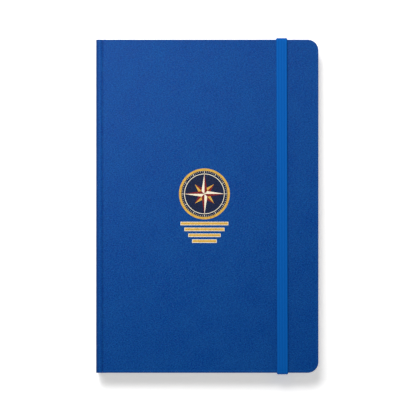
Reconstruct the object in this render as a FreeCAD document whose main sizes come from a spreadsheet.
"""A case-bound pilot logbook with an elastic closure, lying on its back cover.

+Z is up through the front cover, +Y is the head and the spine is at -X. The origin is the
middle of the back cover's outer face. Every piece is drawn with X counted from the spine's
outer face, and then moved left by half the cover's width.
"""

import FreeCAD, Part
import math
import os
import re
import Sketcher

doc = FreeCAD.newDocument("logbook")
sheet = doc.addObject("Spreadsheet::Sheet", "Sizes")

# Driving dimensions in millimetres.
DIMENSIONS = {
    "CoverWidth": 144.2,
    "BookHeight": 216.0,
    "BookThick": 15.0,
    "CornerRadius": 7.0,
    "EdgeRadius": 0.5,
    # the case
    "WrapThick": 0.4,
    "BoardThick": 2.0,
    "PasteThick": 0.15,
    "TurnIn": 15.0,
    "JointWidth": 6.5,
    "SpineRadius": 1.8,
    "CreaseCentre": 4.2,
    "CreaseRadius": 2.6,
    "CreaseDepth": 0.2,
    "CardThick": 0.8,
    "CardBase": 2.7,
    "CutSpare": 1.0,
    # the page block
    "Square": 3.0,
    "BlockStart": 2.3,
    "BlockBase": 3.3,
    "SignaturePitch": 0.88,
    "SignatureGap": 0.02,
    "SignatureCount": 10.0,
    "FoldRadius": 0.38,
    "FlyThick": 0.12,
    "PageRadius": 6.0,
    "HollowGap": 0.08,
    "GlueGap": 0.02,
    "LinerThick": 0.18,
    "LinerInset": 6.0,
    "ThreadRadius": 0.25,
    "ThreadPitch": 44.0,
    "ThreadInset": 0.2,
    "BandRadius": 0.7,
    "BandInset": 0.1,
    "BandLift": 0.03,
    "BandFootLift": 0.06,
    "BandTongue": 9.0,
    "BandCloth": 0.4,
    # the pocket inside the back cover
    "PocketStart": 19.5,
    "PocketHeight": 120.0,
    "GussetThick": 0.3,
    "GussetWidth": 8.0,
    "GussetInset": 1.0,
    "PanelThick": 0.35,
    "ScoopRadius": 22.0,
    "ScoopRise": 14.0,
    # the elastic strap
    "StrapWidth": 7.0,
    "StrapThick": 1.0,
    "StrapInset": 23.9,
    "StrapFit": 0.05,
    "StrapBase": 1.5,
    "StrapTab": 20.0,
    "TabThick": 0.85,
    "NotchWidth": 8.0,
    # the printed emblem
    "PrintThick": 0.05,
    "PrintCentre": 70.3,
    "RoseLift": 8.0,
    "RoseRadius": 16.5,
    "RoseBand": 1.6,
    "StripeThick": 2.2,
    "StripePitch": 3.8,
    "StripeLong": 31.0,
    "StripeStep": 5.0,
}

for row, (alias, value) in enumerate(DIMENSIONS.items(), start=1):
    sheet.set(f"A{row}", alias)
    sheet.set(f"B{row}", str(value))
    sheet.setAlias(f"B{row}", alias)
doc.recompute()

INNER_FACE = "WrapThick + BoardThick + PasteThick"
BOARD_FACE = "WrapThick + BoardThick"
PAGE_END = "CoverWidth - Square"
PAGE_HEIGHT = "BookHeight - 2 * Square"
BLOCK_TOP = "BlockBase + FlyThick + SignaturePitch * SignatureCount"
STRAP_LEFT = "CoverWidth - StrapInset - StrapWidth / 2"
STAR_POINTS = 4
STAR_WAIST = 0.28  # of the star's own radius
STRIPE_COUNT = 4
THREAD_COUNT = 5

nodes = {}


def bind(thing, path, formula):
    """Drives one property from a formula of the sheet's names."""
    thing.setExpression(path, re.sub(r"\b([A-Z][A-Za-z]+)\b", r"Sizes.\1", str(formula)))


def place(thing, x="0", y="0", z="0"):
    bind(thing, "Placement.Base.x", f"{x} - CoverWidth / 2")
    bind(thing, "Placement.Base.y", y)
    bind(thing, "Placement.Base.z", z)


def turn_over(thing, x="0", y="0", z="BookThick"):
    """Carries a back cover piece to the front cover, by half a turn about X."""
    thing.Placement.Rotation = FreeCAD.Rotation(FreeCAD.Vector(1, 0, 0), 180)
    place(thing, x, y, z)


def keep(label, thing):
    """Makes an object the finished piece that its node exports."""
    thing.Label = label
    nodes[label] = thing
    return thing


def add_box(name, lows, sizes):
    box = doc.addObject("Part::Box", name)
    for side, size in zip(("Length", "Width", "Height"), sizes):
        bind(box, side, size)
    place(box, *lows)
    return box


def add_cylinder(name, lows, radius, height):
    post = doc.addObject("Part::Cylinder", name)
    bind(post, "Radius", radius)
    bind(post, "Height", height)
    place(post, *lows)
    return post


def join(kind, name, pieces):
    """A Part::Compound or Part::MultiFuse of the pieces."""
    whole = doc.addObject(kind, name)
    if kind == "Part::Compound":
        whole.Links = pieces
    else:
        whole.Shapes = pieces
        whole.Refine = True
    return whole


def cut(name, base, tool):
    result = doc.addObject("Part::Cut", name)
    result.Base = base
    result.Tool = tool
    return result


def add_body(name):
    body = doc.addObject("PartDesign::Body", name)
    place(body)
    return body


def add_sketch(body, role, lift="0"):
    """A sketch on one of the body's own origin planes, lifted along the plane's normal."""
    sketch = body.newObject("Sketcher::SketchObject", body.Name + "_sketch")
    plane = [p for p in body.Origin.OriginFeatures if p.Role == role][0]
    sketch.AttachmentSupport = [(plane, "")]
    sketch.MapMode = "FlatFace"
    bind(sketch, "AttachmentOffset.Base.z", lift)
    return sketch


def name_dimension(sketch, constraint, name, formula):
    index = sketch.addConstraint(constraint)
    sketch.renameConstraint(index, name)
    bind(sketch, f"Constraints.{name}", formula)


def draw_panel(sketch, left, right, height, radius):
    """An outline with square corners on the left and round ones on the right."""
    vector = FreeCAD.Vector
    quarter = math.pi / 2
    x0, x1, top, r = 10.0, 130.0, 100.0, 5.0  # a first guess, which the dimensions then move
    low_centre = Part.Circle(vector(x1 - r, r - top, 0), vector(0, 0, 1), r)
    high_centre = Part.Circle(vector(x1 - r, top - r, 0), vector(0, 0, 1), r)
    sketch.addGeometry(
        [
            Part.LineSegment(vector(x0, -top, 0), vector(x1 - r, -top, 0)),
            Part.ArcOfCircle(low_centre, -quarter, 0),
            Part.LineSegment(vector(x1, r - top, 0), vector(x1, top - r, 0)),
            Part.ArcOfCircle(high_centre, 0, quarter),
            Part.LineSegment(vector(x1 - r, top, 0), vector(x0, top, 0)),
            Part.LineSegment(vector(x0, top, 0), vector(x0, -top, 0)),
        ]
    )
    rules = [("Tangent", side, 2, side + 1, 1) for side in range(4)]
    rules += [("Coincident", 4, 2, 5, 1), ("Coincident", 5, 2, 0, 1)]
    rules += [("Horizontal", 0), ("Horizontal", 4), ("Vertical", 2), ("Equal", 1, 3)]
    rules += [("Symmetric", 5, 1, 5, 2, -1)]
    for rule in rules:
        sketch.addConstraint(Sketcher.Constraint(*rule))
    dimension = Sketcher.Constraint
    name_dimension(sketch, dimension("DistanceX", -1, 1, 5, 2, x0), "left", left)
    name_dimension(sketch, dimension("DistanceX", -1, 1, 2, 1, x1), "right", right)
    name_dimension(sketch, dimension("DistanceY", 5, 2, 5, 1, 2 * top), "height", height)
    name_dimension(sketch, dimension("Radius", 1, r), "radius", radius)


def pad(body, sketch, length):
    feature = body.newObject("PartDesign::Pad", body.Name + "_pad")
    feature.Profile = sketch
    bind(feature, "Length", length)
    sketch.Visibility = False
    doc.recompute()
    return feature


def pocket_up(body, sketch, length):
    """Cuts from the sketch's plane towards +Z, and checks that it removed something."""
    before = body.Shape.Volume
    feature = body.newObject("PartDesign::Pocket", body.Name + "_pocket")
    feature.Profile = sketch
    feature.Reversed = True
    bind(feature, "Length", length)
    doc.recompute()
    if body.Shape.Volume > before - 1:
        raise RuntimeError(f"{feature.Name} cuts nothing")
    return feature


def fillet(body, feature, wanted, radius):
    """Rounds the edges of a feature for which wanted(edge) is true."""
    names = [f"Edge{n}" for n, edge in enumerate(feature.Shape.Edges, start=1) if wanted(edge)]
    rounding = body.newObject("PartDesign::Fillet", body.Name + "_fillet")
    rounding.Base = (feature, names)
    bind(rounding, "Radius", radius)
    doc.recompute()
    return rounding


def lies_at(edge, **limits):
    """True where the whole edge has the given coordinate, such as x=2.3 or z=0."""
    box = edge.BoundBox
    spans = {"x": (box.XMin, box.XMax), "y": (box.YMin, box.YMax), "z": (box.ZMin, box.ZMax)}
    return all(max(abs(end - at) for end in spans[axis]) < 1e-4 for axis, at in limits.items())


def add_panel(label, left, right, height, radius, base, thick):
    """A flat sheet or board with round fore-edge corners."""
    body = add_body(label)
    sketch = add_sketch(body, "XY_Plane", base)
    draw_panel(sketch, left, right, height, radius)
    pad(body, sketch, thick)
    return keep(label, body)


def add_cover_wrap(label):
    """The leatherette over a board: the outer face, the edges and the turn-ins."""
    body = add_body(label)
    outline = add_sketch(body, "XY_Plane")
    draw_panel(outline, "JointWidth", "CoverWidth", "BookHeight", "CornerRadius")
    slab = pad(body, outline, BOARD_FACE)
    fillet(
        body,
        slab,
        lambda edge: lies_at(edge, z=0) and not lies_at(edge, x=sheet.JointWidth),
        "EdgeRadius",
    )
    room = add_sketch(body, "XY_Plane", "WrapThick")
    draw_panel(
        room,
        "JointWidth",
        "CoverWidth - WrapThick",
        "BookHeight - 2 * WrapThick",
        "CornerRadius - WrapThick",
    )
    pocket_up(body, room, "BoardThick - WrapThick")
    window = add_sketch(body, "XY_Plane", "BoardThick")
    draw_panel(
        window,
        "JointWidth",
        "CoverWidth - WrapThick - TurnIn",
        "BookHeight - 2 * WrapThick - 2 * TurnIn",
        "EdgeRadius",
    )
    pocket_up(body, window, "WrapThick")
    return body


def add_board(label):
    """A greyboard, thinned under the turn-ins so that the inner face is level."""
    body = add_body(label)
    outline = add_sketch(body, "XY_Plane", "WrapThick")
    draw_panel(
        outline,
        "JointWidth",
        "CoverWidth - WrapThick",
        "BookHeight - 2 * WrapThick",
        "CornerRadius - WrapThick",
    )
    pad(body, outline, "BoardThick - WrapThick")
    raised = add_sketch(body, "XY_Plane", "BoardThick")
    draw_panel(
        raised,
        "JointWidth",
        "CoverWidth - WrapThick - TurnIn",
        "BookHeight - 2 * WrapThick - 2 * TurnIn",
        "EdgeRadius",
    )
    pad(body, raised, "WrapThick")
    return body


def add_pastedown(label):
    return add_panel(
        label, "JointWidth", PAGE_END, PAGE_HEIGHT, "PageRadius", BOARD_FACE, "PasteThick"
    )


def add_hinge_cloth(label):
    """The mull's wing that crosses the joint from the page block to the board."""
    lows = ("BlockStart", "-BookHeight / 2 + Square", BOARD_FACE)
    sizes = ("JointWidth - BlockStart", PAGE_HEIGHT, "PasteThick")
    return keep(label, add_box(label, lows, sizes))


def add_strap_notches():
    """Room at the head and tail of the back board for the strap's glued ends."""
    pieces = []
    for name, low in (
        ("notch_head", "BookHeight / 2 - StrapTab - CutSpare"),
        ("notch_tail", "-BookHeight / 2 - CutSpare"),
    ):
        lows = ("CoverWidth - StrapInset - NotchWidth / 2", low, "StrapBase - StrapFit")
        sizes = ("NotchWidth", "StrapTab + 2 * CutSpare", "TabThick + CutSpare")
        pieces.append(add_box(name, lows, sizes))
    return join("Part::Compound", "strap_notches", pieces)


def add_covers():
    """Both covers are drawn as the back one, and the front one is then turned over."""
    for side in ("back", "front"):
        wrap = add_cover_wrap(f"{side}_wrap")
        board = add_board(f"{side}_greyboard")
        paste = add_pastedown(f"{side}_pastedown")
        cloth = add_hinge_cloth(f"{side}_hinge_cloth")
        if side == "back":
            notches = add_strap_notches()
            wrap = cut("notched_wrap", wrap, notches)
            board = cut("notched_board", board, notches)
        else:
            for piece in (wrap, board, paste):
                turn_over(piece)
            turn_over(cloth, "BlockStart", "BookHeight / 2 - Square", f"BookThick - ({BOARD_FACE})")
        keep(f"{side}_cover_wrap", wrap)
        keep(f"{side}_board", board)


def draw_rectangle(sketch, width, height):
    """A rectangle that starts on the Y axis and is centred on the X axis."""
    vector = FreeCAD.Vector
    corners = [vector(0, -1, 0), vector(6, -1, 0), vector(6, 1, 0), vector(0, 1, 0)]
    for start, end in zip(corners, corners[1:] + corners[:1]):
        sketch.addGeometry(Part.LineSegment(start, end))
    rules = [("Coincident", n, 2, (n + 1) % 4, 1) for n in range(4)]
    rules += [("Horizontal", 0), ("Vertical", 1), ("Horizontal", 2), ("PointOnObject", 0, 1, -2)]
    rules += [("Symmetric", 3, 1, 3, 2, -1)]
    for rule in rules:
        sketch.addConstraint(Sketcher.Constraint(*rule))
    name_dimension(sketch, Sketcher.Constraint("DistanceX", 0, 1, 0, 2, 6), "wide", width)
    name_dimension(sketch, Sketcher.Constraint("DistanceY", 3, 2, 3, 1, 2), "tall", height)


def add_rounded_bar(name, lows, sizes, radius):
    """A bar along Y whose two long edges on the spine side are rounded."""
    body = add_body(name)
    place(body, *lows)
    section = add_sketch(body, "XY_Plane")
    draw_rectangle(section, *sizes[:2])
    bar = pad(body, section, sizes[2])
    fillet(
        body,
        bar,
        lambda edge: lies_at(edge, x=0) and edge.BoundBox.YLength > 1,
        radius,
    )
    return body


def add_spine():
    """The leatherette channel round the spine, with a pressed crease along each joint."""
    channel = add_rounded_bar(
        "spine_channel", ("0", "0", "0"), ("JointWidth", "BookHeight", "BookThick"), "SpineRadius"
    )
    hollow = add_rounded_bar(
        "spine_hollow",
        ("WrapThick", "0", "WrapThick"),
        ("JointWidth", "BookHeight + 2 * CutSpare", "BookThick - 2 * WrapThick"),
        "SpineRadius - WrapThick",
    )
    creases = []
    for name, centre in (
        ("crease_back", "CreaseDepth - CreaseRadius"),
        ("crease_front", "BookThick - CreaseDepth + CreaseRadius"),
    ):
        lows = ("CreaseCentre", "-BookHeight / 2 - CutSpare", centre)
        crease = add_cylinder(name, lows, "CreaseRadius", "BookHeight + 2 * CutSpare")
        crease.Placement.Rotation = FreeCAD.Rotation(FreeCAD.Vector(1, 0, 0), -90)
        creases.append(crease)
    removed = join("Part::Compound", "spine_removed", [hollow, *creases])
    keep("spine_wrap", cut("spine_wrap", channel, removed))
    card_lows = ("WrapThick", "-BookHeight / 2", "CardBase")
    card_sizes = ("CardThick", "BookHeight", "BookThick - 2 * CardBase")
    keep("spine_card", add_box("spine_card", card_lows, card_sizes))


def add_linings():
    """The kraft paper and the mull glued down the back of the sewn block."""
    start = "WrapThick + CardThick + HollowGap"
    for label, shift in (("kraft_liner", "0"), ("spine_mull", "LinerThick + GlueGap")):
        lows = (f"{start} + {shift}", "-BookHeight / 2 + LinerInset", "BlockBase")
        sizes = ("LinerThick", "BookHeight - 2 * LinerInset", f"{BLOCK_TOP} - BlockBase")
        keep(label, add_box(label, lows, sizes))


def add_threads():
    """Kettle and sewing stitches: one thread down the folds at each sewing station."""
    stitches = []
    for station in range(THREAD_COUNT):
        offset = f"ThreadPitch * {station - (THREAD_COUNT - 1) / 2}"
        lows = ("BlockStart - ThreadRadius - GlueGap", offset, "BlockBase + ThreadInset")
        height = f"{BLOCK_TOP} - BlockBase - 2 * ThreadInset"
        stitches.append(add_cylinder(f"stitch_{station + 1}", lows, "ThreadRadius", height))
    keep("sewing_thread", join("Part::Compound", "sewing_thread", stitches))


def add_end_bands():
    """A rolled cloth bead over each end of the folds, on a tongue glued to the spine."""
    depth = f"{BLOCK_TOP} - BlockBase - 2 * BandInset"
    base = "BlockBase + BandInset"
    back = "BlockStart - GlueGap - BandCloth"
    for label, way in (("headband", 1), ("tailband", -1)):
        edge = f"{way} * (BookHeight / 2 - Square)"
        bead_lows = ("BlockStart + BandRadius", f"{edge} + {way} * (BandRadius + BandLift)", base)
        bead = add_cylinder(f"{label}_bead", bead_lows, "BandRadius", depth)
        tongue_low = f"{edge} - BandTongue" if way > 0 else f"{edge} - 2 * BandRadius"
        tongue_sizes = ("BandCloth", "BandTongue + 2 * BandRadius", depth)
        tongue = add_box(f"{label}_tongue", (back, tongue_low, base), tongue_sizes)
        foot_low = f"{edge} + BandFootLift" if way > 0 else f"{edge} - BandFootLift - BandRadius"
        foot_sizes = ("BandRadius + BandCloth + GlueGap", "BandRadius", depth)
        foot = add_box(f"{label}_foot", (back, foot_low, base), foot_sizes)
        keep(label, join("Part::MultiFuse", label, [bead, tongue, foot]))


def add_signature(number):
    """Eight leaves folded together; number 1 is next to the front cover."""
    label = f"signature_{number:02d}"
    body = add_body(label)
    base = f"BlockBase + FlyThick + SignaturePitch * (SignatureCount - {number})"
    sketch = add_sketch(body, "XY_Plane", base)
    draw_panel(sketch, "BlockStart", PAGE_END, PAGE_HEIGHT, "PageRadius")
    leaves = pad(body, sketch, "SignaturePitch - SignatureGap")
    fillet(
        body,
        leaves,
        lambda edge: lies_at(edge, x=sheet.BlockStart) and edge.BoundBox.YLength > 1,
        "FoldRadius",
    )
    keep(label, body)


def add_flyleaves():
    for label, base in (
        ("back_flyleaf", "BlockBase"),
        ("front_flyleaf", BLOCK_TOP),
    ):
        thick = "FlyThick - SignatureGap"
        add_panel(label, "BlockStart", PAGE_END, PAGE_HEIGHT, "PageRadius", base, thick)


def add_pocket():
    """A stiff panel over two folded side gussets, open towards the head."""
    low = "-BookHeight / 2 + Square"
    edges = (
        ("pocket_gusset_spine", "PocketStart"),
        ("pocket_gusset_fore", f"{PAGE_END} - PageRadius - GussetWidth"),
    )
    for label, start in edges:
        lows = (start, f"{low} + GussetInset", INNER_FACE)
        sizes = ("GussetWidth", "PocketHeight - 2 * GussetInset", "GussetThick")
        keep(label, add_box(label, lows, sizes))
    width = f"{PAGE_END} - PageRadius - PocketStart"
    panel = add_box(
        "pocket_blank",
        ("PocketStart", low, f"{INNER_FACE} + GussetThick"),
        (width, "PocketHeight", "PanelThick"),
    )
    scoop = add_cylinder(
        "thumb_scoop",
        (f"PocketStart + ({width}) / 2", f"{low} + PocketHeight + ScoopRise", "0"),
        "ScoopRadius",
        "BookThick",
    )
    keep("pocket_panel", cut("pocket_panel", panel, scoop))


def add_strap():
    """One elastic loop over the front cover; both ends run into the back board's notches."""
    reach = "BookHeight / 2 + StrapFit + StrapThick"
    top = "BookThick + StrapFit"
    pieces = [
        add_box(
            "strap_span",
            (STRAP_LEFT, f"-({reach})", top),
            ("StrapWidth", f"2 * ({reach})", "StrapThick"),
        )
    ]
    for name, leg_low, tab_low in (
        ("head", "BookHeight / 2 + StrapFit", "BookHeight / 2 - StrapTab"),
        ("tail", f"-({reach})", f"-({reach})"),
    ):
        leg_height = f"{top} + StrapThick - StrapBase"
        leg_size = ("StrapWidth", "StrapThick", leg_height)
        tab_size = ("StrapWidth", "StrapTab + StrapFit + StrapThick", "TabThick")
        pieces.append(add_box(f"strap_leg_{name}", (STRAP_LEFT, leg_low, "StrapBase"), leg_size))
        pieces.append(add_box(f"strap_tab_{name}", (STRAP_LEFT, tab_low, "StrapBase"), tab_size))
    keep("elastic_strap", join("Part::MultiFuse", "elastic_strap", pieces))


def add_star(name, points, radius, inner):
    """A flat star whose long points alternate with the inner radius."""
    body = add_body(name)
    place(body, "PrintCentre", "RoseLift", "BookThick")
    sketch = add_sketch(body, "XY_Plane")
    corners = []
    for step in range(2 * points):
        reach = radius if step % 2 == 0 else inner
        turn = FreeCAD.Rotation(FreeCAD.Vector(0, 0, 1), 90 + 180 * step / points)
        corners.append(turn.multVec(FreeCAD.Vector(reach, 0, 0)))
    for start, end in zip(corners, corners[1:] + corners[:1]):
        sketch.addGeometry(Part.LineSegment(start, end))
    for side in range(len(corners)):
        following = (side + 1) % len(corners)
        sketch.addConstraint(Sketcher.Constraint("Coincident", side, 2, following, 1))
        sketch.addConstraint(Sketcher.Constraint("Block", side))
    pad(body, sketch, "PrintThick")
    return body


def add_emblem():
    """A compass rose in a ring, over four stripes that shorten towards the tail."""
    disc_at = ("PrintCentre", "RoseLift", "BookThick")
    disc = add_cylinder("ring_disc", disc_at, "RoseRadius", "PrintThick")
    hole = add_cylinder("ring_hole", disc_at, "RoseRadius - RoseBand", "PrintThick")
    ring = cut("rose_ring", disc, hole)
    reach = float(sheet.RoseRadius - 2 * sheet.RoseBand)
    star = add_star("rose_star", STAR_POINTS, reach, STAR_WAIST * reach)
    stripes = []
    for number in range(STRIPE_COUNT):
        length = f"StripeLong - StripeStep * {number}"
        drop = f"RoseLift - RoseRadius - StripePitch * {number + 1}"
        lows = (f"PrintCentre - ({length}) / 2", drop, "BookThick")
        stripes.append(add_box(f"stripe_{number + 1}", lows, (length, "StripeThick", "PrintThick")))
    keep("cover_emblem", join("Part::Compound", "cover_emblem", [ring, star, *stripes]))


def write_parts():
    """Checks every object and each finished piece, then writes one STEP file per node."""
    doc.recompute()
    for thing in doc.Objects:
        if "Invalid" in thing.State or "Error" in thing.State:
            raise RuntimeError(f"{thing.Label} did not recompute: {thing.State}")
    os.makedirs("parts", exist_ok=True)
    for label, thing in nodes.items():
        shape = thing.Shape
        if shape.isNull() or not shape.isValid() or not shape.Solids:
            raise RuntimeError(f"{label} has no valid solid")
        shape.exportStep(f"parts/{label}.step")
        box = shape.BoundBox
        print(
            f"{label:22s} {len(shape.Solids):2d} solids {shape.Volume:9.1f} mm3 "
            f"x {box.XMin:7.2f} {box.XMax:7.2f}  y {box.YMin:7.2f} {box.YMax:7.2f} "
            f" z {box.ZMin:6.2f} {box.ZMax:6.2f}"
        )


add_covers()
add_spine()
add_linings()
add_threads()
add_end_bands()
for signature in range(1, int(sheet.SignatureCount) + 1):
    add_signature(signature)
add_flyleaves()
add_pocket()
add_strap()
add_emblem()
write_parts()
